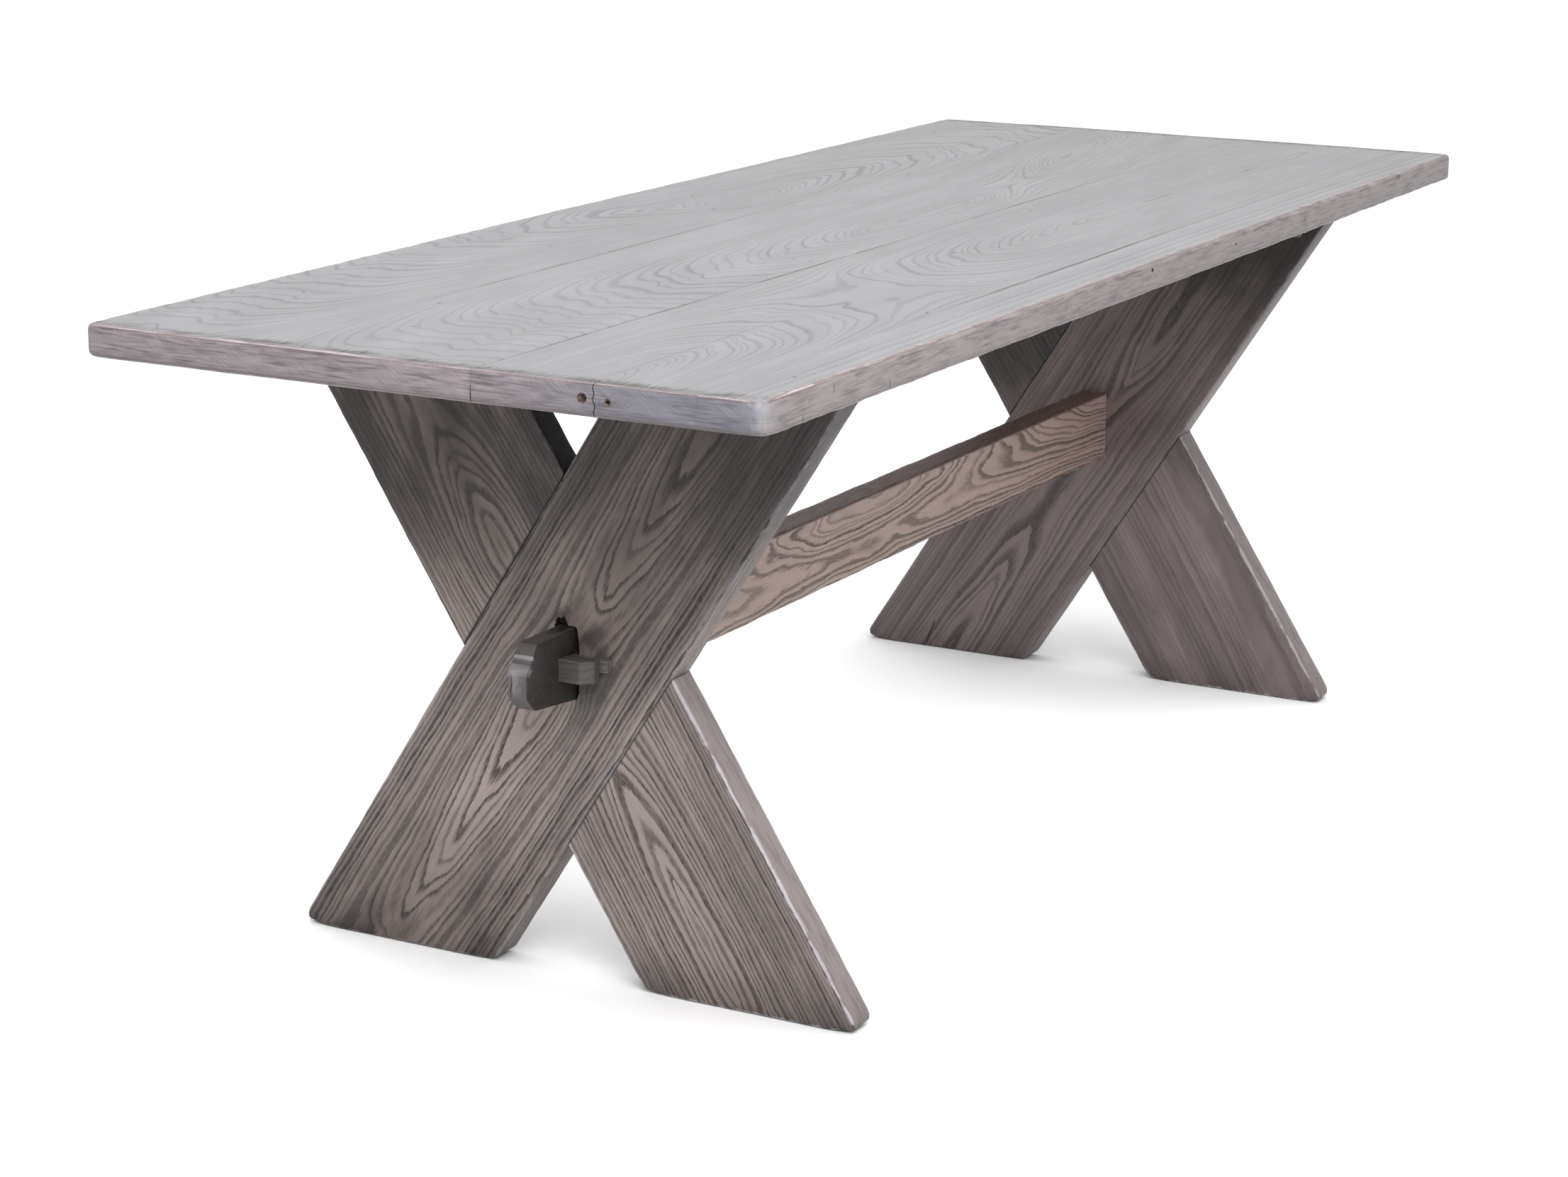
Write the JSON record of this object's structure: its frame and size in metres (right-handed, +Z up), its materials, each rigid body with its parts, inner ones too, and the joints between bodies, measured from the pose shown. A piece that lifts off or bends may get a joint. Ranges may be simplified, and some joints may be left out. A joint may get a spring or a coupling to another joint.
{
  "type": "sawbuck table",
  "caption": "Long rectangular plank-top dining table on two half-lapped X trestles joined by a stretcher with wedged through tenons.",
  "frame": {"origin": "on the floor, under the middle of the table top", "axes": "+X along the table's length, +Y across it, +Z up from the floor to the top"},
  "size_m": [2.032, 0.8, 0.74],
  "materials": {
    "top_boards": "weathered pale grey, hand-rubbed",
    "leg_boards": "grey-brown limed grain, waxed",
    "stretcher_wood": "warm brown, open grain, waxed",
    "cleat_wood": "grey-brown, sawn",
    "wedge_wood": "dark grey-brown, whittled",
    "hidden_tongues": "raw, glued in",
    "steel_screws": "dull, slightly rusted"
  },
  "bodies": {
    "root": {"top_plank_1": "top_boards", "top_plank_2": "top_boards", "top_plank_3": "top_boards", "top_plank_4": "top_boards", "top_joint_1_tongue": "hidden_tongues", "top_joint_2_tongue": "hidden_tongues", "top_joint_3_tongue": "hidden_tongues", "left_trestle_outer_leg": "leg_boards", "left_trestle_inner_leg": "leg_boards", "left_top_cleat": "cleat_wood", "left_cleat_top_screws": "steel_screws", "left_cleat_leg_screws": "steel_screws", "right_trestle_outer_leg": "leg_boards", "right_trestle_inner_leg": "leg_boards", "right_top_cleat": "cleat_wood", "right_cleat_top_screws": "steel_screws", "right_cleat_leg_screws": "steel_screws", "stretcher": "stretcher_wood"},
    "left_key_wedge": {"left_key_wedge": "wedge_wood"},
    "left_slip_wedge": {"left_slip_wedge": "wedge_wood"},
    "right_key_wedge": {"right_key_wedge": "wedge_wood"},
    "right_slip_wedge": {"right_slip_wedge": "wedge_wood"}
  },
  "joints": [
    {"name": "left_key_wedge_slide", "type": "slide", "parent": "root", "child": "left_key_wedge", "axis": [0, -1, 0], "range_m": [0, 0.065]},
    {"name": "left_slip_wedge_slide", "type": "slide", "parent": "root", "child": "left_slip_wedge", "axis": [0, 1, 0], "range_m": [0, 0.075]},
    {"name": "right_key_wedge_slide", "type": "slide", "parent": "root", "child": "right_key_wedge", "axis": [0, 1, 0], "range_m": [0, 0.065]},
    {"name": "right_slip_wedge_slide", "type": "slide", "parent": "root", "child": "right_slip_wedge", "axis": [0, -1, 0], "range_m": [0, 0.075]}
  ]
}
